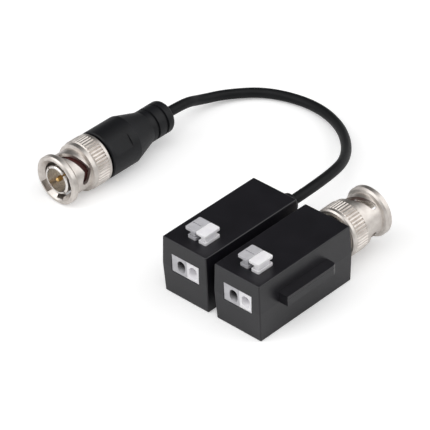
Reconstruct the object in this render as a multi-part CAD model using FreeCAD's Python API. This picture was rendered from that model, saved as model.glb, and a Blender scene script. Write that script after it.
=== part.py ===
import FreeCAD, Part
import math
import os

# Pair of passive video baluns joined side by side. Millimetres, +Z up, box fronts towards -Y.
# The left unit carries a short cord with a bayonet plug, the right unit has the plug on its rear wall.

vec = FreeCAD.Vector

# box
box_width = 15.6            # at the parting plane
box_depth = 34.0
box_height = 16.8
parting_z = 8.6
draft_inset = 0.29          # each wall leans in by this much at the top and at the bottom
wall = 1.5
floor_thickness = 1.2
roof_thickness = 1.2
edge_round = 0.35
pair_gap = 2.3

# tongue and rebate along the parting
tongue_offset = 0.9
tongue_height = 0.8
tongue_clearance = 0.08
tongue_break = 0.5          # where it stops short of the window and of the channel

# side rail of one unit and the channel in the other
rail_projection = 2.8
rail_front = 7.0
rail_rear = 24.9
rail_root_low = 8.65
rail_root_high = 11.75
rail_tip_low = 8.7
rail_tip_high = 11.6
rail_groove_z = 10.6
rail_groove_depth = 0.2
rail_end_taper = 0.45
channel_depth = 0.7
channel_front = 6.9
channel_top = 11.7

# terminal window in the front, and the two poles behind it
terminal_x = box_width / 2 + 0.2
window_width = 9.4
window_left = terminal_x - window_width / 2
window_right = terminal_x + window_width / 2
window_low = 7.5
window_high = 12.7
window_clearance = 0.05
nose_front = 0.25
pole_split_x = terminal_x + 0.4
pole_gap = 0.06
housing_front = 1.7
housing_rear = 9.8
housing_width = 10.2        # both poles together
housing_left = terminal_x - housing_width / 2
housing_right = terminal_x + housing_width / 2
housing_top_gap = 0.2
housing_top = box_height - roof_thickness - housing_top_gap
housing_wall = 0.42         # least wall beside a cavity
wire_hole_radius = 1.35
wire_hole_z = 10.35
lead_in_drop = 0.7          # the mouth of the hole is drawn down by this much
lead_in_depth = 1.3
grey_hole_x = terminal_x - 1.44
white_hole_x = terminal_x + 2.6
cavity_front = 4.55
cavity_rear = 9.0
cavity_half_width = 1.64
cavity_floor = 8.3
housing_roof = 0.8
cavity_top = housing_top - housing_roof

# collars of the housings, and the levers that slide in them
collar_rise = 0.7           # above the box
collar_top = box_height + collar_rise
collar_front = 4.1
collar_rear = 9.4
grey_collar = (terminal_x - 2.6, terminal_x + 0.1)
white_collar = (terminal_x + 1.1, terminal_x + 3.6)
collar_corner = 0.3
cover_clearance = 0.1
neck_front = 4.7
neck_rear = 8.7
grey_neck = (terminal_x - 2.1, terminal_x - 0.4)
white_neck = (terminal_x + 1.55, terminal_x + 3.15)
neck_clearance = 0.08
lever_lift = 1.5            # open space under the plate while the lever is up
plate_thickness = 0.8
plate_bottom = collar_top + lever_lift
plate_top = plate_bottom + plate_thickness
plate_front = 4.0
plate_rear = 9.4
grey_plate = (terminal_x - 3.25, terminal_x + 0.36)
white_plate = (terminal_x + 0.42, terminal_x + 3.75)
plate_corner = 0.4
plate_edge = 0.12
slot_y = 6.6
slot_width = 0.4
slot_depth = 0.3
slot_end_margin = 0.35
lever_wire_gap = 0.5
lever_low = wire_hole_z + wire_hole_radius + lever_wire_gap
lever_cam_rise = 0.8
lever_flat = 1.4
lug_reach = 0.22
lug_margin = 1.0
lug_gap = 0.1
lug_height = 0.55
lug_high = cavity_top - lug_gap
lug_low = lug_high - lug_height
lever_travel = 1.3

# clamp spring strip and contact of each pole
strip_thickness = 0.25
strip_width = 1.8
strip_gap = 0.05
strip_bend = 0.46
strip_rear_gap = 0.25
strip_front = 0.5           # from the front of the cavity to the free end of the raised leg
strip_lower_front = 1.0
strip_lever_gap = 0.35      # from the pressed lever down to the middle of the strip's free end
contact_thickness = 0.5
contact_width = 2.6
contact_leg = 0.7
contact_leg_y = 6.9
contact_end_gap = 0.12
leg_clearance = 0.12

# circuit board and what stands on it
board_low = 4.4
board_thickness = 1.0
board_front = 1.75
board_side_gap = 0.2
board_rear_gap = 1.5
board_rear = box_depth - wall - board_rear_gap
board_left = wall + board_side_gap
board_right = box_width - wall - board_side_gap
pin_stub = 1.2              # how far a terminal pin stands out below the board
lead_stub = 0.5             # how far a wire end stands out below the board
lead_hole_clearance = 0.1
post_inset = 1.5
post_x = (wall + post_inset, box_width - wall - post_inset)
post_y = (12.6, board_rear - 1.8)
post_radius = 0.95
pin_radius = 0.5
pin_height = 1.8
pin_clearance = 0.02
board_hole_clearance = 0.1
board_float = 0.05
core_y = board_rear - 12.0
core_outer = 3.2
core_inner = 1.5
core_height = 3.0
winding_thickness = 0.3
winding_ridge = 0.12
winding_turns = 12
band_share = 0.7
winding_open_deg = 50.0
winding_lead_radius = 0.2
winding_lead_deg = 12.0
winding_lead_reach = (1.2, 2.2)
winding_lead_root = 1.7     # sideways place where a wire end leaves the winding
winding_lead_rise = 0.4
arrester_y = board_rear - 6.0
arrester_radius = 1.5
arrester_length = 5.0
arrester_cap = 0.6
arrester_cap_step = 0.1
arrester_lift = 0.25
arrester_lead_radius = 0.3
arrester_lead_reach = 0.8
chip_size = (0.8, 1.6, 0.5)
chip_spread = 2.4
chip_places = [(x, y) for y in (core_y - chip_spread, core_y + chip_spread)
               for x in (board_left + post_inset, board_right - post_inset)]
signal_radius = 0.4
signal_bend = 1.2
signal_board_y = board_rear - 2.8

# bayonet plug, measured from the front face of its coupling nut
coax_rise = 1.0             # of the plug's axis above the middle of the box
coax_z = box_height / 2 + coax_rise
nut_length = 14.6
nut_radius = 7.1
nut_waist_radius = 5.95
nut_bore_radius = 5.0
nut_shoulder_radius = 4.1
nut_counterbore_radius = 5.6
nut_shoulder_start = 9.6
nut_shoulder_end = 12.4
mouth_radius = 6.0
mouth_depth = 1.2
nut_edge = 0.4
rim_end = 1.6
rim_back = 2.2
rim_back_step = 0.45
waist_start = 2.5
waist_end = 7.65
land_start = 7.95
land_end = 9.2
knurl_land_step = 0.25
knurl_rear_step = 0.1
knurl_start = 9.5
knurl_end = 13.2
knurl_count = 48
knurl_depth = 0.32
knurl_run_out = 0.2
knurl_flat_share = 0.42
slot_half_width = 0.97
slot_end_ease = 0.02        # the round ends are this much wider than the track
slot_start_s = 3.8
slot_peak_s = 6.7
slot_peak_deg = 75.0
slot_end_s = 5.4
slot_end_deg = 100.0
entry_groove_half = 1.15
entry_groove_radius = 5.6
relief_deg = 57.0
relief_half = 1.6
relief_radius = 6.1
relief_depth = 1.6
left_slot_deg = -97.0
right_slot_deg = 52.0
nut_gap = 1.9

sleeve_front = 0.4
sleeve_radius = 4.15
sleeve_edge = 0.25
coax_bore_radius = 3.5
sleeve_slit = 0.5
sleeve_slit_end = 5.4
flange_radius = 4.9
flange_start = 7.6
flange_end = 8.8
tube_radius = 4.0
ring_groove_start = 12.5
ring_groove_end = 13.1
ring_groove_radius = 3.75
ring_radius = 5.3
ring_gap = 0.03
ring_split = 1.2
gasket_start = 4.6
gasket_radius = 4.85
gasket_edge = 0.15
washer_start = 8.86
washer_thickness = 0.2
washer_wave = 0.45
washer_inner = 4.1
washer_outer = 4.8
washer_lobes = 3
insulator_front = 6.0
insulator_gap = 0.02
insulator_recess = 0.4
pin_tip = 0.5
center_pin_radius = 0.675
solder_cup_step = 0.2
solder_cup_length = 1.4
panel_flange_radius = 5.6
panel_flange_thickness = 1.4
panel_flange_edge = 0.3
inner_flange_radius = 5.0
inner_flange_thickness = 1.0
neck_hole_clearance = 0.1

# cord gland on the left unit
gland_root_radius = 3.2
gland_end_radius = 2.7
gland_length = 5.5
gland_neck_radius = 2.4
gland_flange_radius = 3.6
gland_flange_thickness = 1.2
gland_end_round = 0.5
gland_grooves = (1.8, 3.4)
gland_groove_width = 0.5
gland_groove_depth = 0.25
gland_groove_lean = 0.1

# boot of the plug on the cord, measured from the front of the nut
plug_axis_x = -66.0
plug_axis_z = 7.15
plug_front_y = -16.86
boot_start = 15.2
boot_radius = 7.0
boot_barrel_end = 25.3
boot_neck_start = 32.5
boot_neck_radius = 4.7
boot_end = 41.0
boot_end_round = 1.5
boot_grooves = (34.4, 37.8)
boot_groove_width = 0.9
boot_groove_depth = 0.45
boot_tube_end = 20.0
boot_tube_clearance = 0.02
boot_tube_end_gap = 0.1
boot_edge = 0.3
boot_groove_lean = 0.15
boot_flat_half = 3.5
boot_flat_deg = 34.0
boot_flat_start = 16.5
boot_flat_end = 22.7
boot_flat_distance = 6.71

# cord
cord_radius = 1.45

# placing
overall_width = 2 * box_width + pair_gap + rail_projection
overall_depth = box_depth + nut_gap + nut_length
left_x = -overall_width / 2
right_x = left_x + box_width + pair_gap
front_y = -overall_depth / 2
rear_y = front_y + box_depth
board_top = board_low + board_thickness
coax_x = box_width / 2
over = 1.0                  # how far a cutting body reaches past what it cuts
sink = 0.2                  # how far fused bodies of one piece reach into each other
cut_inner = nut_bore_radius - 0.5
cut_outer = nut_radius + 0.5


def block(x0, x1, y0, y1, z0, z1):
    return Part.makeBox(x1 - x0, y1 - y0, z1 - z0, vec(x0, y0, z0))


def rod(radius, start, direction, length):
    return Part.makeCylinder(radius, length, vec(*start), vec(*direction))


def rectangle(x0, x1, y0, y1, z):
    corners = [vec(x0, y0, z), vec(x1, y0, z), vec(x1, y1, z), vec(x0, y1, z)]
    return Part.makePolygon(corners + [corners[0]])


def extruded(points, direction):
    closed = points + [points[0]]
    return Part.Face(Part.makePolygon(closed)).extrude(direction)


def turned(points):
    # solid of revolution about Z from (radius, height) points
    closed = [vec(r, 0, s) for r, s in points]
    closed.append(closed[0])
    return Part.Face(Part.makePolygon(closed)).revolve(vec(0, 0, 0), vec(0, 0, 1), 360)


def rounded(shape, radius, chosen):
    edges = [edge for edge in shape.Edges if chosen(edge)]
    return shape.makeFillet(radius, edges)


def upright(edge):
    first, last = edge.Vertexes[0].Point, edge.Vertexes[-1].Point
    return abs(first.z - last.z) > 0.9 * edge.Length


def moved(shape, x, y, z):
    copy = shape.copy()
    copy.translate(vec(x, y, z))
    return copy


def drafted_half(z_end):
    # outer form of one shell: full size at the parting, drawn in towards its far end
    d = draft_inset
    near = rectangle(0, box_width, 0, box_depth, parting_z)
    far = rectangle(d, box_width - d, d, box_depth - d, z_end)
    solid = Part.makeLoft([near, far], True, True)
    return rounded(solid, edge_round, lambda e: abs(e.CenterOfMass.z - parting_z) > 0.01)


def rear_hole(radius):
    return rod(radius, (coax_x, box_depth - wall - over, coax_z), (0, 1, 0), wall + 2 * over)


def tongue_ring(offset, height):
    # band inside the outer wall that stands on the parting plane, left out at the window and the channel
    low = parting_z - over
    high = parting_z + height + over
    outer = block(offset, box_width - offset, offset, box_depth - offset, parting_z, parting_z + height)
    inner = block(wall, box_width - wall, wall, box_depth - wall, low, high)
    window = block(window_left - tongue_break, window_right + tongue_break, -over, wall + over, low, high)
    channel = block(-over, wall + over, channel_front - tongue_break, box_depth - wall, low, high)
    return outer.cut(inner).cut(window).cut(channel)


def lower_shell(hole_radius):
    shell = drafted_half(0)
    high = parting_z + over
    shell = shell.cut(block(wall, box_width - wall, wall, box_depth - wall, floor_thickness, high))
    shell = shell.fuse(tongue_ring(tongue_offset, tongue_height))
    gap = window_clearance
    left, right = window_left - gap, window_right + gap
    shell = shell.cut(block(left, right, -over, wall + sink, window_low - gap, high))
    for x in post_x:
        for y in post_y:
            foot = floor_thickness - sink
            post = rod(post_radius, (x, y, foot), (0, 0, 1), board_low - foot)
            pin = rod(pin_radius, (x, y, board_low - sink), (0, 0, 1), sink + board_thickness + pin_height)
            shell = shell.fuse(post).fuse(pin)
    return shell.cut(rear_hole(hole_radius)).removeSplitter()


def side_rail():
    root = box_width - 0.5
    tip = box_width + rail_projection
    groove = rail_groove_depth
    section = [
        vec(root, 0, rail_root_low),
        vec(tip, 0, rail_tip_low),
        vec(tip, 0, rail_groove_z - groove),
        vec(tip - groove, 0, rail_groove_z),
        vec(tip, 0, rail_groove_z + groove),
        vec(tip, 0, rail_tip_high),
        vec(root, 0, rail_root_high),
    ]
    rail = extruded(section, vec(0, rail_rear - rail_front, 0))
    rail.translate(vec(0, rail_front, 0))
    corner = [
        vec(tip + 0.1, rail_rear - 1.2, 0),
        vec(tip + 0.1, rail_rear + 0.1, 0),
        vec(tip - rail_end_taper, rail_rear + 0.1, 0),
    ]
    return rail.cut(extruded(corner, vec(0, 0, box_height)))


def upper_shell(hole_radius):
    shell = drafted_half(box_height)
    top = box_height - roof_thickness
    shell = shell.cut(block(wall, box_width - wall, wall, box_depth - wall, parting_z - over, top))
    ring = tongue_ring(tongue_offset - tongue_clearance, tongue_height + tongue_clearance)
    shell = shell.cut(ring)
    for x in post_x:
        for y in post_y:
            foot = board_top + board_float
            post = rod(post_radius, (x, y, foot), (0, 0, 1), top - foot + sink)
            bore = rod(pin_radius + pin_clearance, (x, y, foot - over), (0, 0, 1), over + pin_height + sink)
            shell = shell.fuse(post).cut(bore)
    shell = shell.fuse(side_rail())
    low = parting_z - over
    shell = shell.cut(block(-over, channel_depth, channel_front, box_depth + over, low, channel_top))
    gap = window_clearance
    left, right = window_left - gap, window_right + gap
    shell = shell.cut(block(left, right, -over, wall + sink, low, window_high + gap))
    gap = cover_clearance
    front, rear = collar_front - gap, collar_rear + gap
    for left, right in (grey_collar, white_collar):
        opening = block(left - gap, right + gap, front, rear, top - over, box_height + over)
        shell = shell.cut(rounded(opening, collar_corner + gap, upright))
    return shell.cut(rear_hole(hole_radius)).removeSplitter()


def terminal_housing(left, right, nose_left, nose_right, hole_x, collar, neck):
    body = block(left, right, housing_front, housing_rear, board_top, housing_top)
    nose = block(nose_left, nose_right, nose_front, housing_front + sink, window_low, window_high)
    rim = block(collar[0], collar[1], collar_front, collar_rear, housing_top - sink, collar_top)
    rim = rounded(rim, collar_corner, upright)
    body = body.fuse(nose).fuse(rim)
    tunnel_length = cavity_front - nose_front + over + sink
    tunnel = rod(wire_hole_radius, (hole_x, nose_front - over, wire_hole_z), (0, 1, 0), tunnel_length)
    slope = lead_in_drop / lead_in_depth
    mouth = (hole_x, nose_front - over, wire_hole_z - lead_in_drop - over * slope)
    lead_in = rod(wire_hole_radius, mouth, (0, 1, slope), math.hypot(1, slope) * (lead_in_depth + over))
    cavity_left = max(hole_x - cavity_half_width, left + housing_wall)
    cavity_right = min(hole_x + cavity_half_width, right - housing_wall)
    cavity = block(cavity_left, cavity_right, cavity_front, cavity_rear, cavity_floor, cavity_top)
    gap = neck_clearance
    front, rear = neck_front - gap, neck_rear + gap
    guide = block(neck[0] - gap, neck[1] + gap, front, rear, cavity_top - sink, collar_top + over)
    hole = contact_leg / 2 + leg_clearance
    front, rear = contact_leg_y - hole, contact_leg_y + hole
    shaft = block(hole_x - hole, hole_x + hole, front, rear, board_top - over, cavity_floor + sink)
    for cut in (tunnel, lead_in, cavity, guide, shaft):
        body = body.cut(cut)
    return body.removeSplitter()


def push_lever(plate, neck, slotted):
    top = block(plate[0], plate[1], plate_front, plate_rear, plate_bottom, plate_top)
    top = rounded(top, plate_corner, upright)
    top = rounded(top, plate_edge, lambda e: e.BoundBox.ZMin > plate_top - 0.01)
    if slotted:
        front, rear = slot_y - slot_width / 2, slot_y + slot_width / 2
        left, right = plate[0] + slot_end_margin, plate[1] - slot_end_margin
        top = top.cut(block(left, right, front, rear, plate_top - slot_depth, plate_top + over))
    side = [
        vec(neck[0], neck_front, lever_low),
        vec(neck[0], neck_front + lever_flat, lever_low),
        vec(neck[0], neck_rear, lever_low + lever_cam_rise),
        vec(neck[0], neck_rear, plate_bottom + sink),
        vec(neck[0], neck_front, plate_bottom + sink),
    ]
    shank = extruded(side, vec(neck[1] - neck[0], 0, 0))
    front, rear = neck_front + lug_margin, neck_rear - lug_margin
    lugs = block(neck[0] - lug_reach, neck[1] + lug_reach, front, rear, lug_low, lug_high)
    return top.fuse(shank).fuse(lugs).removeSplitter()


def clamp_spring(hole_x):
    # bent strip: one leg lies on the contact, the other rises towards the lever
    t = strip_thickness
    low = cavity_floor + contact_thickness + strip_gap
    middle = low + t / 2
    bend_y = cavity_rear - strip_rear_gap - strip_bend
    outer = strip_bend + t / 2
    inner = strip_bend - t / 2
    centre = middle + strip_bend
    tip_y = cavity_front + strip_front
    tip_z = lever_low - lever_travel - strip_lever_gap
    slope = math.atan2(tip_z - (centre + strip_bend), bend_y - tip_y)
    side = vec(0, math.sin(slope), math.cos(slope))
    knee = vec(hole_x, bend_y, centre)
    away = vec(0, -math.cos(slope), math.sin(slope))
    reach = (bend_y - tip_y) / math.cos(slope)
    bulge = vec(0, 1, 0)
    outside_low = vec(hole_x, bend_y, low)
    inside_low = vec(hole_x, bend_y, low + t)
    outside_high = knee + side * outer
    inside_high = knee + side * inner
    front_low = vec(hole_x, cavity_front + strip_lower_front, low)
    front_high = vec(hole_x, cavity_front + strip_lower_front, low + t)
    tip_outside = outside_high + away * reach
    tip_inside = inside_high + away * reach
    edges = [
        Part.LineSegment(front_low, outside_low).toShape(),
        Part.Arc(outside_low, knee + bulge * outer, outside_high).toShape(),
        Part.LineSegment(outside_high, tip_outside).toShape(),
        Part.LineSegment(tip_outside, tip_inside).toShape(),
        Part.LineSegment(tip_inside, inside_high).toShape(),
        Part.Arc(inside_high, knee + bulge * inner, inside_low).toShape(),
        Part.LineSegment(inside_low, front_high).toShape(),
        Part.LineSegment(front_high, front_low).toShape(),
    ]
    strip = Part.Face(Part.Wire(edges)).extrude(vec(strip_width, 0, 0))
    strip.translate(vec(-strip_width / 2, 0, 0))
    return strip


def contact(hole_x):
    half = contact_width / 2
    front, rear = cavity_front + contact_end_gap, cavity_rear - contact_end_gap
    plate = block(hole_x - half, hole_x + half, front, rear, cavity_floor, cavity_floor + contact_thickness)
    leg = contact_leg / 2
    front, rear = contact_leg_y - leg, contact_leg_y + leg
    pin = block(hole_x - leg, hole_x + leg, front, rear, board_low - pin_stub, cavity_floor + sink)
    return plate.fuse(pin).removeSplitter()


def circuit_board():
    board = block(board_left, board_right, board_front, board_rear, board_low, board_top)
    holes = [(x, y, pin_radius + board_hole_clearance) for x in post_x for y in post_y]
    gap = lead_hole_clearance
    leg_radius = contact_leg / math.sqrt(2) + gap
    holes += [(x, contact_leg_y, leg_radius) for x in (grey_hole_x, white_hole_x)]
    reach = arrester_length / 2 + arrester_lead_reach
    holes += [(coax_x + side * reach, arrester_y, arrester_lead_radius + gap) for side in (-1, 1)]
    holes += [(x, y, winding_lead_radius + gap) for x, y in winding_leads()]
    holes.append((coax_x, signal_board_y, signal_radius + gap))
    for x, y, radius in holes:
        board = board.cut(rod(radius, (x, y, board_low - over), (0, 0, 1), board_thickness + 2 * over))
    return board


def winding_leads():
    # where the four wire ends of the transformer go down into the board, at the open part of the ring
    places = []
    for angle in (-winding_lead_deg, winding_lead_deg):
        for reach in winding_lead_reach:
            radius = core_outer + reach
            turn = math.radians(-90 + angle)
            places.append((coax_x + radius * math.cos(turn), core_y + radius * math.sin(turn)))
    return places


def ring_sector(inner, outer, low, high, start, sweep):
    corners = [vec(inner, 0, low), vec(outer, 0, low), vec(outer, 0, high), vec(inner, 0, high)]
    section = Part.makePolygon(corners + [corners[0]])
    ring = Part.Face(section).revolve(vec(0, 0, 0), vec(0, 0, 1), sweep)
    ring.rotate(vec(0, 0, 0), vec(0, 0, 1), start)
    return ring


def transformer_core():
    low = board_top + winding_thickness + winding_ridge
    core = ring_sector(core_inner, core_outer, low, low + core_height, 0, 360)
    return moved(core, coax_x, core_y, 0)


def transformer_winding():
    low = board_top + winding_ridge
    t = winding_thickness
    start = -90 + winding_open_deg / 2
    sweep = 360 - winding_open_deg
    cover = ring_sector(core_inner - t, core_outer + t, low, low + core_height + 2 * t, start, sweep)
    step = sweep / winding_turns
    ridge = winding_ridge
    for turn in range(winding_turns):
        band = ring_sector(core_inner - t - ridge, core_outer + t + ridge, low - ridge,
                           low + core_height + 2 * t + ridge, start + (turn + (1 - band_share) / 2) * step,
                           band_share * step)
        cover = cover.fuse(band)
    core = ring_sector(core_inner, core_outer, low + t, low + t + core_height, 0, 360)
    cover = moved(cover.cut(core).removeSplitter(), coax_x, core_y, 0)
    shelf = low + winding_lead_rise
    for x, y in winding_leads():
        ring_x = coax_x + math.copysign(winding_lead_root, x - coax_x)
        ring_y = core_y - math.sqrt((core_outer + t / 2) ** 2 - winding_lead_root ** 2)
        run = vec(x - ring_x, y - ring_y, 0)
        along = rod(winding_lead_radius, (ring_x, ring_y, shelf), tuple(run), run.Length)
        corner = Part.makeSphere(winding_lead_radius, vec(x, y, shelf))
        down = rod(winding_lead_radius, (x, y, shelf), (0, 0, -1), shelf - board_low + lead_stub)
        cover = cover.fuse(along).fuse(corner).fuse(down)
    return cover


def surge_arrester():
    z = board_top + arrester_radius + arrester_lift
    half = arrester_length / 2
    body = rod(arrester_radius, (coax_x - half, arrester_y, z), (1, 0, 0), arrester_length)
    for side in (-1, 1):
        cap_x = coax_x + side * half
        cap = rod(arrester_radius + arrester_cap_step, (cap_x, arrester_y, z), (-side, 0, 0), arrester_cap)
        end_x = cap_x + side * arrester_lead_reach
        along = rod(arrester_lead_radius, (end_x, arrester_y, z), (-side, 0, 0), arrester_lead_reach + sink)
        corner = Part.makeSphere(arrester_lead_radius, vec(end_x, arrester_y, z))
        down = rod(arrester_lead_radius, (end_x, arrester_y, z), (0, 0, -1), z - board_low + lead_stub)
        for piece in (cap, along, corner, down):
            body = body.fuse(piece)
    return body.removeSplitter()


def chip_components():
    width, depth, height = chip_size
    chips = []
    for x, y in chip_places:
        chip = block(-width / 2, width / 2, -depth / 2, depth / 2, board_top, board_top + height)
        chips.append(moved(chip, x, y, 0))
    return Part.makeCompound(chips)


def signal_lead(start_y):
    bend = signal_bend
    corner_y = signal_board_y + bend
    low = board_low - lead_stub
    first = vec(coax_x, start_y, coax_z)
    bend_start = vec(coax_x, corner_y, coax_z)
    diagonal = bend * (1 - math.sqrt(0.5))
    bend_mid = vec(coax_x, signal_board_y + diagonal, coax_z - diagonal)
    bend_end = vec(coax_x, signal_board_y, coax_z - bend)
    path = Part.Wire([
        Part.LineSegment(first, bend_start).toShape(),
        Part.Arc(bend_start, bend_mid, bend_end).toShape(),
        Part.LineSegment(bend_end, vec(coax_x, signal_board_y, low)).toShape(),
    ])
    section = Part.Wire(Part.makeCircle(signal_radius, first, vec(0, -1, 0)))
    return path.makePipeShell([section], True, False)


def polar_block(r0, r1, half_width, s0, s1, angle):
    bar = block(r0, r1, -half_width, half_width, s0, s1)
    bar.rotate(vec(0, 0, 0), vec(0, 0, 1), angle)
    return bar


def radial_rod(radius, s, angle):
    turn = math.radians(angle)
    direction = (math.cos(turn), math.sin(turn), 0)
    start = (cut_inner * direction[0], cut_inner * direction[1], s)
    return rod(radius, start, direction, cut_outer - cut_inner)


def helical_slot(angle):
    # lug track through the wall: a rising helix and a short return to the locked position
    radius = (nut_bore_radius + nut_waist_radius) / 2
    rise = slot_peak_s - slot_start_s
    pitch = rise * 360 / slot_peak_deg
    helix = Part.Wire(Part.makeHelix(pitch, rise, radius))
    climb = math.atan2(rise, math.radians(slot_peak_deg) * radius)
    across = vec(0, -math.sin(climb), math.cos(climb)) * slot_half_width
    inside = vec(cut_inner, 0, 0)
    outside = vec(cut_outer, 0, 0)
    corners = [inside - across, outside - across, outside + across, inside + across]
    section = Part.makePolygon(corners + [corners[0]])
    track = helix.makePipeShell([section], True, True)
    track.translate(vec(0, 0, slot_start_s))
    hook_angle = slot_end_deg - slot_peak_deg
    hook_run = math.radians(hook_angle) * radius
    hook_length = math.hypot(hook_run, slot_end_s - slot_peak_s)
    half = slot_half_width
    hook = block(cut_inner, cut_outer, -hook_length / 2, hook_length / 2, -half, half)
    hook.rotate(vec(0, 0, 0), vec(1, 0, 0), math.degrees(math.atan2(slot_end_s - slot_peak_s, hook_run)))
    hook.rotate(vec(0, 0, 0), vec(0, 0, 1), slot_peak_deg + hook_angle / 2)
    hook.translate(vec(0, 0, (slot_end_s + slot_peak_s) / 2))
    ends = [radial_rod(slot_half_width + slot_end_ease, s, turn) for s, turn in
            ((slot_start_s, 0), (slot_peak_s, slot_peak_deg), (slot_end_s, slot_end_deg))]
    slot = track.fuse([hook] + ends)
    slot.rotate(vec(0, 0, 0), vec(0, 0, 1), angle)
    return slot


def knurl_cutter():
    length = knurl_end - knurl_start + 2 * knurl_run_out
    outer = rod(cut_outer, (0, 0, knurl_start - knurl_run_out), (0, 0, 1), length)
    points = []
    pitch = 2 * math.pi / knurl_count
    half_flat = pitch * knurl_flat_share / 2
    tip = nut_radius / math.cos(half_flat)
    valley = nut_radius - knurl_depth
    for tooth in range(knurl_count):
        middle = tooth * pitch
        corners = ((middle - half_flat, tip), (middle + half_flat, tip), (middle + pitch / 2, valley))
        for angle, radius in corners:
            points.append(vec(radius * math.cos(angle), radius * math.sin(angle), knurl_start - over))
    return outer.cut(extruded(points, vec(0, 0, knurl_end - knurl_start + 2 * over)))


def coupling_nut(first_slot):
    r = nut_radius
    land = r - knurl_land_step
    rear = r - knurl_rear_step
    profile = [
        (mouth_radius, 0),
        (r - nut_edge, 0),
        (r, nut_edge),
        (r, rim_end),
        (r - rim_back_step, rim_back),
        (nut_waist_radius, waist_start),
        (nut_waist_radius, waist_end),
        (land, land_start),
        (land, land_end),
        (r, knurl_start),
        (r, knurl_end),
        (rear, knurl_end + knurl_run_out),
        (rear, nut_length - nut_edge),
        (rear - nut_edge, nut_length),
        (nut_counterbore_radius, nut_length),
        (nut_counterbore_radius, nut_shoulder_end),
        (nut_shoulder_radius, nut_shoulder_end),
        (nut_shoulder_radius, nut_shoulder_start),
        (nut_bore_radius, nut_shoulder_start),
        (nut_bore_radius, mouth_depth),
    ]
    nut = turned(profile).cut(knurl_cutter())
    for turn in (0, 180):
        angle = first_slot + turn
        nut = nut.cut(helical_slot(angle))
        entry = polar_block(cut_inner, entry_groove_radius, entry_groove_half, -over, slot_start_s, angle)
        relief = polar_block(cut_inner, relief_radius, relief_half, -over, relief_depth, angle + relief_deg)
        nut = nut.cut(entry).cut(relief)
    return nut


def plug_body(rear_profile):
    # turned body: slit sleeve, flange, tube with ring groove, then the given rear part
    r = tube_radius
    profile = [
        (coax_bore_radius, sleeve_front),
        (sleeve_radius - sleeve_edge, sleeve_front),
        (sleeve_radius, sleeve_front + sleeve_edge),
        (sleeve_radius, flange_start),
        (flange_radius, flange_start),
        (flange_radius, flange_end),
        (r, flange_end),
        (r, ring_groove_start),
        (ring_groove_radius, ring_groove_start),
        (ring_groove_radius, ring_groove_end),
        (r, ring_groove_end),
    ] + rear_profile
    body = turned(profile)
    for turn in (45, 135):
        reach = sleeve_radius + over
        slit = block(-reach, reach, -sleeve_slit / 2, sleeve_slit / 2, sleeve_front - over, sleeve_slit_end)
        slit.rotate(vec(0, 0, 0), vec(0, 0, 1), turn)
        body = body.cut(slit)
    return body


def gasket():
    inner = sleeve_radius
    outer = gasket_radius
    edge = gasket_edge
    return turned([(inner, gasket_start), (outer - edge, gasket_start), (outer, gasket_start + edge),
                   (outer, flange_start), (inner, flange_start)])


def wave_washer():
    count = washer_lobes * 8
    section = ((washer_inner, 0), (washer_outer, 0), (washer_outer, washer_thickness),
               (washer_inner, washer_thickness))
    rings = []
    for step in range(count):
        angle = 2 * math.pi * step / count
        lift = washer_start + washer_wave * (1 + math.cos(washer_lobes * angle)) / 2
        c, s = math.cos(angle), math.sin(angle)
        rings.append([vec(radius * c, radius * s, lift + up) for radius, up in section])
    faces = []
    for step in range(count):
        here, there = rings[step], rings[(step + 1) % count]
        for side in range(4):
            a, b = here[side], here[(side + 1) % 4]
            c, d = there[(side + 1) % 4], there[side]
            faces.append(Part.Face(Part.makePolygon([a, b, c, a])))
            faces.append(Part.Face(Part.makePolygon([a, c, d, a])))
    return Part.Solid(Part.makeShell(faces))


def retaining_ring():
    inner = ring_groove_radius + ring_gap
    near, far = ring_groove_start + ring_gap, ring_groove_end - ring_gap
    ring = turned([(inner, near), (ring_radius, near), (ring_radius, far), (inner, far)])
    return ring.cut(polar_block(0, ring_radius + over, ring_split / 2, near - over, far + over, 90))


def insulator(rear_end):
    outer = coax_bore_radius - insulator_gap
    inner = center_pin_radius + insulator_gap
    return turned([(inner, insulator_front), (outer, insulator_front), (outer, rear_end), (inner, rear_end)])


def center_pin(cup_start, cup_end):
    r = center_pin_radius
    cup = r + solder_cup_step
    point = [(0, pin_tip), (0.3 * r, pin_tip), (0.8 * r, pin_tip + 0.4 * r), (r, pin_tip + 1.2 * r)]
    return turned(point + [(r, cup_start), (cup, cup_start), (cup, cup_end), (0, cup_end)])


def cord_gland():
    # canonical: height 0 is the outer face of the rear wall, increasing away from the box
    taper = (gland_root_radius - gland_end_radius) / gland_length

    def surface(s):
        return gland_root_radius - taper * s

    end = gland_length
    profile = [
        (0, -wall - gland_flange_thickness),
        (gland_flange_radius, -wall - gland_flange_thickness),
        (gland_flange_radius, -wall),
        (gland_neck_radius, -wall),
        (gland_neck_radius, 0),
        (surface(0), 0),
    ]
    lean = gland_groove_lean
    for groove in gland_grooves:
        near, far = groove - gland_groove_width / 2, groove + gland_groove_width / 2
        profile += [(surface(near), near), (surface(near) - gland_groove_depth, near + lean),
                    (surface(far) - gland_groove_depth, far - lean), (surface(far), far)]
    for turn in (0, 30, 60, 90):
        angle = math.radians(turn)
        profile.append((surface(end) - gland_end_round * (1 - math.cos(angle)),
                        end - gland_end_round * (1 - math.sin(angle))))
    profile.append((0, end))
    return turned(profile)


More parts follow.
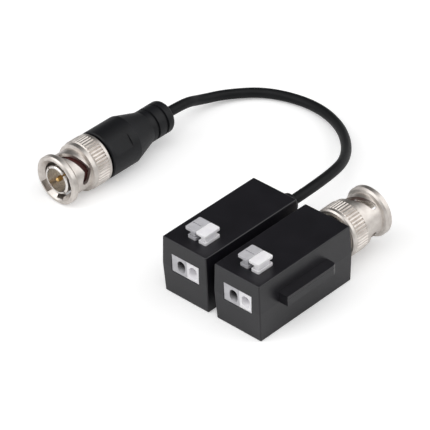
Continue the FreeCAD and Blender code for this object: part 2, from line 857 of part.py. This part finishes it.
def cord_boot():
    tube = tube_radius + boot_tube_clearance
    r = boot_radius
    neck = boot_neck_radius

    def segment(a, b):
        return Part.LineSegment(vec(a[0], 0, a[1]), vec(b[0], 0, b[1])).toShape()

    def arc(a, b, c):
        return Part.Arc(vec(a[0], 0, a[1]), vec(b[0], 0, b[1]), vec(c[0], 0, c[1])).toShape()

    inside = boot_tube_end + boot_tube_end_gap
    edge = boot_edge
    points = [(0, inside), (tube, inside), (tube, boot_start), (r - edge, boot_start), (r, boot_start + edge),
              (r, boot_barrel_end)]
    edges = [segment(a, b) for a, b in zip(points[:-1], points[1:])]
    edges.append(segment((r, boot_barrel_end), (neck, boot_neck_start)))
    here = (neck, boot_neck_start)
    for groove in boot_grooves:
        near, far = groove - boot_groove_width / 2, groove + boot_groove_width / 2
        bottom = neck - boot_groove_depth
        lean = boot_groove_lean
        for point in ((neck, near), (bottom, near + lean), (bottom, far - lean), (neck, far)):
            edges.append(segment(here, point))
            here = point
    round_start = (neck, boot_end - boot_end_round)
    edges.append(segment(here, round_start))
    lean = boot_end_round * math.sqrt(0.5)
    round_mid = (neck - boot_end_round + lean, boot_end - boot_end_round + lean)
    round_end = (neck - boot_end_round, boot_end)
    edges.append(arc(round_start, round_mid, round_end))
    edges.append(segment(round_end, (0, boot_end)))
    edges.append(segment((0, boot_end), points[0]))
    boot = Part.Face(Part.Wire(edges)).revolve(vec(0, 0, 0), vec(0, 0, 1), 360)
    flat = polar_block(boot_flat_distance, boot_radius + over, boot_flat_half, boot_flat_start, boot_flat_end,
                       -boot_flat_deg)
    return boot.cut(flat)


def cord(points):
    places = [vec(*point) for point in points]
    runs = [(b - a).Length for a, b in zip(places[:-1], places[1:])]
    edges = []
    radii = []
    here = places[0]
    length = 0
    for index in range(1, len(places) - 1):
        before = (places[index] - places[index - 1]) * (1 / runs[index - 1])
        after = (places[index + 1] - places[index]) * (1 / runs[index])
        turn = before.getAngle(after)
        tangent = 0.45 * min(runs[index - 1], runs[index])
        radius = tangent / math.tan(turn / 2)
        arc_start = places[index] - before * tangent
        arc_end = places[index] + after * tangent
        inward = after - before
        inward.normalize()
        arc_mid = places[index] + inward * (radius / math.cos(turn / 2) - radius)
        edges.append(Part.LineSegment(here, arc_start).toShape())
        edges.append(Part.Arc(arc_start, arc_mid, arc_end).toShape())
        length += (arc_start - here).Length + radius * turn
        here = arc_end
        radii.append(radius)
    edges.append(Part.LineSegment(here, places[-1]).toShape())
    length += (places[-1] - here).Length
    path = Part.Wire(edges)
    section = Part.Wire(Part.makeCircle(cord_radius, places[0], places[1] - places[0]))
    tube = path.makePipeShell([section], True, False)
    expected = math.pi * cord_radius ** 2 * length
    print("cord runs", [round(run, 1) for run in runs])
    print("cord bend radii", [round(radius, 1) for radius in radii])
    print("cord length", round(length, 2))
    print("cord volume", round(tube.Volume, 1), "expected", round(expected, 1))
    return tube


def placed_left(shape):
    # canonical +Z becomes +Y, at the plug that lies beside the boxes
    copy = shape.copy()
    copy.rotate(vec(0, 0, 0), vec(1, 0, 0), -90)
    copy.translate(vec(plug_axis_x, plug_front_y, plug_axis_z))
    return copy


def placed_right(shape):
    # canonical +Z becomes -Y, at the rear wall of the right unit
    copy = shape.copy()
    copy.rotate(vec(0, 0, 0), vec(1, 0, 0), 90)
    copy.translate(vec(right_x + coax_x, front_y + overall_depth, coax_z))
    return copy


parts = {}

wall_face = nut_gap + nut_length
inner_face = wall_face + wall
pin_end = {
    "left": boot_tube_end - insulator_recess,
    "right": inner_face + inner_flange_thickness + solder_cup_length,
}

for side, unit_x, hole_radius, lead_start in (
    ("left", left_x, gland_neck_radius + neck_hole_clearance, box_depth - wall - gland_flange_thickness),
    ("right", right_x, tube_radius + neck_hole_clearance, overall_depth - pin_end["right"]),
):
    split_low = pole_split_x - pole_gap / 2
    split_high = pole_split_x + pole_gap / 2
    unit = {
        "lower_shell": lower_shell(hole_radius),
        "upper_shell": upper_shell(hole_radius),
        "circuit_board": circuit_board(),
        "grey_terminal_housing": terminal_housing(housing_left, split_low, window_left, split_low,
                                                  grey_hole_x, grey_collar, grey_neck),
        "white_terminal_housing": terminal_housing(split_high, housing_right, split_high, window_right,
                                                   white_hole_x, white_collar, white_neck),
        "grey_lever": push_lever(grey_plate, grey_neck, True),
        "white_lever": push_lever(white_plate, white_neck, False),
        "grey_clamp_spring": clamp_spring(grey_hole_x),
        "white_clamp_spring": clamp_spring(white_hole_x),
        "grey_contact": contact(grey_hole_x),
        "white_contact": contact(white_hole_x),
        "transformer_core": transformer_core(),
        "transformer_winding": transformer_winding(),
        "surge_arrester": surge_arrester(),
        "chip_components": chip_components(),
        "signal_lead": signal_lead(lead_start),
    }
    for name, shape in unit.items():
        parts[side + "_" + name] = moved(shape, unit_x, front_y, 0)

flange_face = wall_face - panel_flange_thickness
right_rear = [
    (tube_radius, flange_face),
    (panel_flange_radius - panel_flange_edge, flange_face),
    (panel_flange_radius, flange_face + panel_flange_edge),
    (panel_flange_radius, wall_face),
    (tube_radius, wall_face),
    (tube_radius, inner_face),
    (inner_flange_radius, inner_face),
    (inner_flange_radius, inner_face + inner_flange_thickness),
    (coax_bore_radius, inner_face + inner_flange_thickness),
]
left_rear = [(tube_radius, boot_tube_end), (coax_bore_radius, boot_tube_end)]

for side, place, first_slot, rear in (
    ("left", placed_left, left_slot_deg, left_rear),
    ("right", placed_right, right_slot_deg, right_rear),
):
    body_end = rear[-1][1]
    plug = {
        "plug_body": plug_body(rear),
        "coupling_nut": coupling_nut(first_slot),
        "gasket": gasket(),
        "wave_washer": wave_washer(),
        "retaining_ring": retaining_ring(),
        "insulator": insulator(body_end - insulator_recess),
        "center_pin": center_pin(body_end - insulator_recess, pin_end[side]),
    }
    for name, shape in plug.items():
        parts[side + "_" + name] = place(shape)

gland = cord_gland()
gland.rotate(vec(0, 0, 0), vec(1, 0, 0), -90)
gland.translate(vec(left_x + coax_x, rear_y, coax_z))
parts["cord_gland"] = gland
parts["plug_boot"] = placed_left(cord_boot())

cord_start = vec(left_x + coax_x, rear_y + gland_length, coax_z)
cord_end = vec(plug_axis_x, plug_front_y + boot_end, plug_axis_z)
cord_route = [
    tuple(cord_start),
    (-10.35, 30.0, 9.4),
    (-17.0, 44.0, 5.5),
    (-30.0, 56.0, 2.5),
    (-44.0, 60.5, 1.5),
    (-58.0, 57.0, 1.5),
    (-65.6, 48.2, 2.0),
    (-67.5, 39.5, 3.6),
    (-66.0, 32.0, 7.15),
    tuple(cord_end),
]
parts["cord"] = cord(cord_route)

os.makedirs("parts", exist_ok=True)
for name, shape in parts.items():
    if not shape.isValid() or len(shape.Solids) < 1:
        print("check this shape:", name, shape.isValid(), len(shape.Solids))
    shape.exportStep("parts/" + name + ".step")

print("nodes", len(parts))
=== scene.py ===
import math
import bpy
from mathutils import Matrix, Vector


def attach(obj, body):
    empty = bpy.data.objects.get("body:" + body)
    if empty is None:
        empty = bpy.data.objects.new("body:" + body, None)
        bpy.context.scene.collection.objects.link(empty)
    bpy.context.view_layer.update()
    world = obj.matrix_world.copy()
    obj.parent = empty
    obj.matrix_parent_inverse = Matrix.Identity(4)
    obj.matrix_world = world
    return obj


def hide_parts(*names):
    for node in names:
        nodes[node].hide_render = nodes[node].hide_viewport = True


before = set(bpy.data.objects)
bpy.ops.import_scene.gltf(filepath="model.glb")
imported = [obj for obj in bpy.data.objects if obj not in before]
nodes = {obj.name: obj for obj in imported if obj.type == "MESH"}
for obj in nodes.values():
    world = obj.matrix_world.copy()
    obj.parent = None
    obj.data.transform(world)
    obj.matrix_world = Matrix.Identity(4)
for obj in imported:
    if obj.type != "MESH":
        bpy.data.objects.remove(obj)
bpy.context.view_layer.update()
print("frame loaded:", len(nodes), "nodes")

mm = 0.001


def linear(hexColour):  # sRGB hex to the linear colour that a shader takes
    parts = [int(hexColour[i:i + 2], 16) / 255 for i in (1, 3, 5)]
    return [c / 12.92 if c <= 0.04045 else ((c + 0.055) / 1.055) ** 2.4 for c in parts] + [1.0]


def perMm(size):  # texture scale that puts one feature in every `size` millimetres
    return 1 / (size * mm)


def addNode(tree, kind, settings=(), links=()):  # sockets are named, or numbered where two share a name
    node = tree.nodes.new(kind)
    for name, value in dict(settings).items():
        if isinstance(name, int) or name in node.inputs:
            node.inputs[name].default_value = value
        else:
            setattr(node, name, value)
    for name, source in dict(links).items():
        tree.links.new(source, node.inputs[name])
    return node


def newMaterial(name):
    material = bpy.data.materials.new(name)
    material.use_nodes = True
    material.node_tree.nodes.clear()
    return material, material.node_tree


def placeObject(name, data):
    thing = bpy.data.objects.new(name, data)
    bpy.context.scene.collection.objects.link(thing)
    return thing


def lookFrom(azimuth, elevation):  # unit vector from the object towards a viewer or a lamp
    a, e = math.radians(azimuth), math.radians(elevation)
    return Vector((math.sin(a) * math.cos(e), -math.cos(a) * math.cos(e), math.sin(e)))


# Camera, at the photograph's viewing angle; lengths in mm, angles in degrees
camera = {
    "place": (394.056, -413.985, 429.975),
    "azimuth": 45.283,  # 0 looks along +Y
    "elevation": 35.741,
    "roll": -2.825,
    "lens": 235.4,
    "sensor": 36,
    "nearest": 50,
    "farthest": 10000,
}


def makeCamera():
    back = lookFrom(camera["azimuth"], camera["elevation"])
    right = Vector((0, 0, 1)).cross(back).normalized()
    up = back.cross(right)
    roll = math.radians(camera["roll"])
    rolledRight = right * math.cos(roll) + up * math.sin(roll)
    rolledUp = up * math.cos(roll) - right * math.sin(roll)
    data = bpy.data.cameras.new("camera")
    data.lens = camera["lens"]
    data.sensor_width = camera["sensor"]
    data.clip_start = camera["nearest"] * mm
    data.clip_end = camera["farthest"] * mm
    viewer = placeObject("camera", data)
    columns = Matrix((rolledRight, rolledUp, back)).transposed().to_4x4()
    viewer.matrix_world = Matrix.Translation(Vector(camera["place"]) * mm) @ columns
    bpy.context.scene.camera = viewer


makeCamera()
print("camera set")

# Cord: the route's points, in mm, are the ones that the CAD cord runs along
cord = {
    "route": [
        (-10.35, 14.25, 9.4), (-10.35, 30.0, 9.4), (-17.0, 44.0, 5.5), (-30.0, 56.0, 2.5),
        (-44.0, 60.5, 1.5), (-58.0, 57.0, 1.5), (-65.6, 48.2, 2.0), (-67.5, 39.5, 3.6),
        (-66.0, 32.0, 7.15), (-66.0, 24.14, 7.15),
    ],
    "diameter": 2.9,
    "length": 114.0,
    "stiffness": "medium",
    "splineOrder": 3,
    "stepsPerPoint": 24,
    "stepsPerQuarter": 8,  # round the section
}


def makeCord():
    curve = bpy.data.curves.new("cord_jacket", "CURVE")
    curve.dimensions = "3D"
    spline = curve.splines.new("NURBS")
    spline.points.add(len(cord["route"]) - 1)
    for point, place in zip(spline.points, cord["route"]):
        point.co = (*Vector(place) * mm, 1)
        point.radius = cord["diameter"] / 2 * mm  # times a bevel of 1, so that the curve's box is the cord's own
    spline.order_u = cord["splineOrder"]
    spline.use_endpoint_u = True
    spline.resolution_u = cord["stepsPerPoint"]
    curve.bevel_depth = 1.0
    curve.bevel_resolution = cord["stepsPerQuarter"]
    curve.use_fill_caps = True
    jacket = placeObject("cord_jacket", curve)
    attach(jacket, "left_unit")
    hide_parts("cord")
    return jacket


cordJacket = makeCord()
print("cord laid")

# Finishes share one build: a colour that drifts between two shades, and one fine noise that varies the
# roughness and raises the surface. `wave`, `grain` and `turning` are the size of a feature in mm, and
# `relief` is its height in mm.
noise = {
    "lowest": 0.3,  # most of a noise texture's values lie between these two
    "highest": 0.7,
    "shadeEnds": (0.35, 0.65),
    "driftDetail": 2.0,
    "metalDriftDetail": 3.0,
    "grainDetail": 3.0,
    "grainRoughness": 0.6,
    "turningDetail": 2.0,
    "turningStretch": (0.12, 1.0, 0.12),  # the marks run round the plug's axis, Y
    # samples that the painted shade in holes takes from ambient occlusion
    "cavitySamples": 8,
}

plastics = {
    "mouldedBlackAbs": {  # boxes: black ABS, satin, its walls mirror the pale floor softly
        "colour": "#121116", "shade": "#17161b", "roughness": 0.34, "roughSpread": 0.07,
        "grain": 0.16, "relief": 0.004, "wave": 6.0, "ior": 1.53,
    },
    "mouldedGreyNylon": {  # grey levers: light grey nylon, slightly waxy
        "colour": "#c4c3c7", "shade": "#bab9bd", "roughness": 0.42, "roughSpread": 0.08,
        "grain": 0.2, "relief": 0.003, "wave": 2.5, "ior": 1.53, "lightDepth": 0.6, "lightShare": 0.5,
    },
    "greyNylonPaintedHoleShade": {  # grey housings: the same nylon, with painted shade that darkens its wire hole and other recesses
        "colour": "#c4c3c7", "shade": "#bab9bd", "roughness": 0.42, "roughSpread": 0.08,
        "grain": 0.2, "relief": 0.003, "wave": 2.5, "ior": 1.53,
        "cavity": "#0e0a08", "cavityReach": 5.0,
    },
    "mouldedWhiteNylon": {  # white housings and levers: natural nylon, bright as light spreads inside it
        "colour": "#f6f4f7", "shade": "#edebef", "roughness": 0.4, "roughSpread": 0.08,
        "grain": 0.2, "relief": 0.003, "wave": 2.5, "ior": 1.53, "lightDepth": 1.0, "lightShare": 0.6,
    },
    "extrudedBlackPvc": {  # cord: soft PVC drawn through a die, a dull sheen with faint ripples
        "colour": "#101113", "shade": "#151618", "roughness": 0.48, "roughSpread": 0.06, "gloss": 0.17,
        "grain": 0.3, "relief": 0.004, "wave": 4.0, "ior": 1.53,
    },
    "mouldedBlackPvc": {  # boot and gland: flexible PVC from a matt mould, deep black
        "colour": "#0c0d10", "shade": "#111216", "roughness": 0.48, "roughSpread": 0.08, "gloss": 0.27,
        "grain": 0.22, "relief": 0.007, "wave": 5.0, "ior": 1.53,
    },
    "darkRedSilicone": {  # gaskets: the dark red that shows in the bayonet slots
        "colour": "#43110c", "shade": "#360d09", "roughness": 0.5, "roughSpread": 0.05,
        "grain": 0.3, "relief": 0.003, "wave": 2.0, "ior": 1.41,
    },
    "turnedPtfe": {  # insulators round the centre pins: milky white, light spreads inside
        "colour": "#eee6da", "shade": "#e4dbcd", "roughness": 0.45, "roughSpread": 0.05,
        "grain": 0.25, "relief": 0.003, "wave": 2.0, "ior": 1.35, "lightDepth": 1.2, "lightShare": 0.5,
    },
    "greenLaminate": {  # circuit boards: glass-epoxy under green solder mask
        "colour": "#1f5a37", "shade": "#17492c", "roughness": 0.35, "roughSpread": 0.1,
        "grain": 0.3, "relief": 0.004, "wave": 1.2, "ior": 1.5,
    },
    "sinteredFerrite": {  # transformer cores: pressed and fired, dark grey and matt
        "colour": "#2b2a2c", "shade": "#222123", "roughness": 0.6, "roughSpread": 0.1,
        "grain": 0.25, "relief": 0.006, "wave": 1.5, "ior": 1.6,
    },
    "glazedCeramic": {  # arresters and chips: pale fired ceramic with a soft gloss
        "colour": "#cfc8ba", "shade": "#bdb5a6", "roughness": 0.3, "roughSpread": 0.08,
        "grain": 0.25, "relief": 0.003, "wave": 1.5, "ior": 1.55,
    },
}

metals = {
    "brightNickelPlate": {  # coupling nuts: turned brass under bright nickel, warm white with turning marks
        "colour": "#e0dad4", "shade": "#d1cac4", "roughness": 0.4, "roughSpread": 0.05,
        "turning": 0.12, "relief": 0.002, "wave": 1.6,
    },
    "polishedNickelWithPaintedLight": {  # plug bodies: the same plating, smoother, and painted whiter as painted light that brightens the inside of the plug's mouth
        "colour": "#f4f1ed", "shade": "#eae6e1", "roughness": 0.26, "roughSpread": 0.04,
        "turning": 0.12, "relief": 0.001, "wave": 1.6,
    },
    "goldPlate": {  # centre pins: thin gold on brass, pale and shiny
        "colour": "#eac582", "shade": "#dab066", "roughness": 0.28, "roughSpread": 0.03,
        "turning": 0.1, "relief": 0.001, "wave": 1.6,
    },
    "rolledSpringSteel": {  # clamp strips, wave washers and retaining rings: cool grey with rolling marks
        "colour": "#b9bbbd", "shade": "#a2a4a7", "roughness": 0.3, "roughSpread": 0.05,
        "turning": 0.1, "relief": 0.001, "wave": 1.6,
    },
    "tinnedBrass": {  # contacts and signal wires: soft white tin
        "colour": "#c9c7c1", "shade": "#b3b1ab", "roughness": 0.35, "roughSpread": 0.06,
        "turning": 0.15, "relief": 0.001, "wave": 1.6,
    },
    "enamelledCopper": {  # windings: copper under amber enamel
        "colour": "#b5622c", "shade": "#96501f", "roughness": 0.28, "roughSpread": 0.03,
        "turning": 0.15, "relief": 0.004, "wave": 1.6,
    },
}


def driftingColour(tree, place, look, detail):
    drift = addNode(tree, "ShaderNodeTexNoise", {"Scale": perMm(look["wave"]), "Detail": detail}, {"Vector": place})
    ramp = addNode(tree, "ShaderNodeValToRGB", {}, {"Fac": drift.outputs["Fac"]})
    for stop, position, tone in zip(ramp.color_ramp.elements, noise["shadeEnds"], ("shade", "colour")):
        stop.position = position
        stop.color = linear(look[tone])
    return ramp.outputs["Color"]


def fineSurface(tree, fine, look):
    rough = addNode(tree, "ShaderNodeMapRange", {
        "From Min": noise["lowest"], "From Max": noise["highest"],
        "To Min": look["roughness"] - look["roughSpread"],
        "To Max": look["roughness"] + look["roughSpread"]}, {"Value": fine.outputs["Fac"]})
    bump = addNode(tree, "ShaderNodeBump", {"Distance": look["relief"] * mm, "Strength": 1.0},
                   {"Height": fine.outputs["Fac"]})
    return {"Roughness": rough.outputs["Result"], "Normal": bump.outputs["Normal"]}


def paintShadeInHoles(tree, surface, look):  # painted shade: where ambient occlusion finds a hole or recess, the colour falls off to a dark brown
    opening = addNode(tree, "ShaderNodeAmbientOcclusion", {
        "Distance": look["cavityReach"] * mm, "samples": noise["cavitySamples"], "only_local": True})
    share = addNode(tree, "ShaderNodeMapRange", {"From Min": noise["lowest"], "From Max": noise["highest"]},
                    {"Value": opening.outputs["AO"]})
    return addNode(tree, "ShaderNodeMixRGB", {"Color1": linear(look["cavity"])},
                   {"Fac": share.outputs["Result"], "Color2": surface}).outputs["Color"]


def plasticMaterial(name, look):
    material, tree = newMaterial(name)
    place = addNode(tree, "ShaderNodeTexCoord").outputs["Object"]
    grain = addNode(tree, "ShaderNodeTexNoise", {
        "Scale": perMm(look["grain"]), "Detail": noise["grainDetail"], "Roughness": noise["grainRoughness"]},
        {"Vector": place})
    surface = driftingColour(tree, place, look, noise["driftDetail"])
    # painted shade: the colour darkens deep in holes and recesses
    if "cavity" in look:
        surface = paintShadeInHoles(tree, surface, look)
    shader = addNode(tree, "ShaderNodeBsdfPrincipled", {
        "IOR": look["ior"], "Specular IOR Level": look.get("gloss", 0.5),
        "Subsurface Weight": look.get("lightShare", 0.0), "Subsurface Scale": look.get("lightDepth", 0.0) * mm,
        "Subsurface Radius": (1.0, 1.0, 1.0)}, {"Base Color": surface, **fineSurface(tree, grain, look)})
    addNode(tree, "ShaderNodeOutputMaterial", {}, {"Surface": shader.outputs["BSDF"]})
    return material


def metalMaterial(name, look):
    material, tree = newMaterial(name)
    place = addNode(tree, "ShaderNodeTexCoord").outputs["Object"]
    along = addNode(tree, "ShaderNodeMapping", {"Scale": noise["turningStretch"]}, {"Vector": place})
    marks = addNode(tree, "ShaderNodeTexNoise", {"Scale": perMm(look["turning"]), "Detail": noise["turningDetail"]},
                    {"Vector": along.outputs["Vector"]})
    surface = driftingColour(tree, place, look, noise["metalDriftDetail"])
    shader = addNode(tree, "ShaderNodeBsdfPrincipled", {"Metallic": 1.0},
                     {"Base Color": surface, **fineSurface(tree, marks, look)})
    addNode(tree, "ShaderNodeOutputMaterial", {}, {"Surface": shader.outputs["BSDF"]})
    return material


materials = {name: plasticMaterial(name, look) for name, look in plastics.items()}
materials.update({name: metalMaterial(name, look) for name, look in metals.items()})

# Finish of each node, by the end of its name
finishes = {
    "lower_shell": "mouldedBlackAbs", "upper_shell": "mouldedBlackAbs",
    "circuit_board": "greenLaminate",
    # grey housings carry painted shade in their wire holes
    "grey_terminal_housing": "greyNylonPaintedHoleShade", "grey_lever": "mouldedGreyNylon",
    "white_terminal_housing": "mouldedWhiteNylon", "white_lever": "mouldedWhiteNylon",
    "clamp_spring": "rolledSpringSteel", "contact": "tinnedBrass",
    "transformer_core": "sinteredFerrite", "transformer_winding": "enamelledCopper",
    "surge_arrester": "glazedCeramic", "chip_components": "glazedCeramic",
    "signal_lead": "tinnedBrass",
    # plug bodies: smoother nickel, painted whiter as painted light
    "plug_body": "polishedNickelWithPaintedLight", "coupling_nut": "brightNickelPlate",
    "gasket": "darkRedSilicone", "wave_washer": "rolledSpringSteel",
    "retaining_ring": "rolledSpringSteel", "insulator": "turnedPtfe", "center_pin": "goldPlate",
    "cord_gland": "mouldedBlackPvc", "plug_boot": "mouldedBlackPvc", "cord": "extrudedBlackPvc",
}


def dress(piece, finish):
    piece.data.materials.clear()
    piece.data.materials.append(materials[finish])


for name, node in nodes.items():
    ending = next(e for e in sorted(finishes, key=len, reverse=True) if name.endswith(e))
    dress(node, finishes[ending])
dress(cordJacket, finishes["cord"])
print("materials set:", len(materials))

# Floor and light; lengths in mm, angles in degrees from the object
studio = {
    "floorColour": "#f0f0f0",
    "floorHalf": 3000,
    "floorGlow": 0.3,  # what the floor adds in the camera's eye, so that it shows white
    "floorGlowMirrored": 0.06,  # and in reflections
    "worldLight": 0.5,
    "worldSeen": 1.0,  # what the camera sees past the floor
    "darkFlag": {"azimuth": 225, "elevation": 36, "halfAngle": 28, "blur": 6, "light": 0.05},
    "lamps": [
        {"name": "leftSoftbox", "azimuth": -34, "elevation": 32, "distance": 900, "size": 780, "radiance": 1.45},
        {"name": "rightSoftbox", "azimuth": 132, "elevation": 38, "distance": 900, "size": 1000, "radiance": 1.02},
        {"name": "topSoftbox", "azimuth": 20, "elevation": 72, "distance": 900, "size": 900, "radiance": 1.3},
    ],
}


def floorMaterial():
    material, tree = newMaterial("paleStudioFloor")
    path = addNode(tree, "ShaderNodeLightPath").outputs
    seen = addNode(tree, "ShaderNodeMath", {"operation": "MAXIMUM"},
                   {0: path["Is Camera Ray"], 1: path["Is Transmission Ray"]})
    direct = addNode(tree, "ShaderNodeMath", {"operation": "MULTIPLY", 1: studio["floorGlow"]},
                     {0: seen.outputs["Value"]})
    strength = addNode(tree, "ShaderNodeMath", {"operation": "MULTIPLY_ADD", 1: studio["floorGlowMirrored"]},
                       {0: path["Is Glossy Ray"], 2: direct.outputs["Value"]})
    paint = addNode(tree, "ShaderNodeBsdfDiffuse", {"Color": linear(studio["floorColour"])})
    glow = addNode(tree, "ShaderNodeEmission", {}, {"Strength": strength.outputs["Value"]})
    both = addNode(tree, "ShaderNodeAddShader", {}, {0: paint.outputs["BSDF"], 1: glow.outputs["Emission"]})
    addNode(tree, "ShaderNodeOutputMaterial", {}, {"Surface": both.outputs["Shader"]})
    return material


def makeFloor():
    half = studio["floorHalf"] * mm
    mesh = bpy.data.meshes.new("floor")
    mesh.from_pydata([(-half, -half, 0), (half, -half, 0), (half, half, 0), (-half, half, 0)], [], [(0, 1, 2, 3)])
    mesh.materials.append(floorMaterial())
    floor = placeObject("floor", mesh)


def makeLamps():
    for lamp in studio["lamps"]:
        data = bpy.data.lights.new(lamp["name"], "AREA")
        data.shape = "DISK"
        data.size = lamp["size"] * mm
        data.energy = lamp["radiance"] * math.pi * math.pi * (data.size / 2) ** 2  # watts for that radiance
        light = placeObject(lamp["name"], data)
        away = lookFrom(lamp["azimuth"], lamp["elevation"])
        light.location = away * lamp["distance"] * mm
        light.rotation_euler = away.to_track_quat("Z", "Y").to_euler()


def whiteLight(tree, strength):
    return addNode(tree, "ShaderNodeBackground", {"Color": (1, 1, 1, 1), "Strength": strength}).outputs["Background"]


def makeWorld():  # an even room with one dark screen, which the box tops mirror; the camera sees plain white
    world = bpy.data.worlds.new("studioWorld")
    world.use_nodes = True
    tree = world.node_tree
    tree.nodes.clear()
    flag = studio["darkFlag"]
    place = addNode(tree, "ShaderNodeTexCoord").outputs["Generated"]
    towards = addNode(tree, "ShaderNodeVectorMath", {
        "operation": "DOT_PRODUCT", 1: lookFrom(flag["azimuth"], flag["elevation"])}, {0: place})
    inside = addNode(tree, "ShaderNodeMapRange", {
        "From Min": math.cos(math.radians(flag["halfAngle"] + flag["blur"])),
        "From Max": math.cos(math.radians(flag["halfAngle"] - flag["blur"]))}, {"Value": towards.outputs["Value"]})
    room = addNode(tree, "ShaderNodeMixShader", {}, {
        "Fac": inside.outputs["Result"], 1: whiteLight(tree, studio["worldLight"]),
        2: whiteLight(tree, flag["light"])})
    path = addNode(tree, "ShaderNodeLightPath").outputs
    mix = addNode(tree, "ShaderNodeMixShader", {}, {
        "Fac": path["Is Camera Ray"], 1: room.outputs["Shader"], 2: whiteLight(tree, studio["worldSeen"])})
    addNode(tree, "ShaderNodeOutputWorld", {}, {"Surface": mix.outputs["Shader"]})
    bpy.context.scene.world = world


makeFloor()
makeLamps()
makeWorld()
bpy.context.scene.view_settings.view_transform = "Standard"
print("floor, lamps and world set")
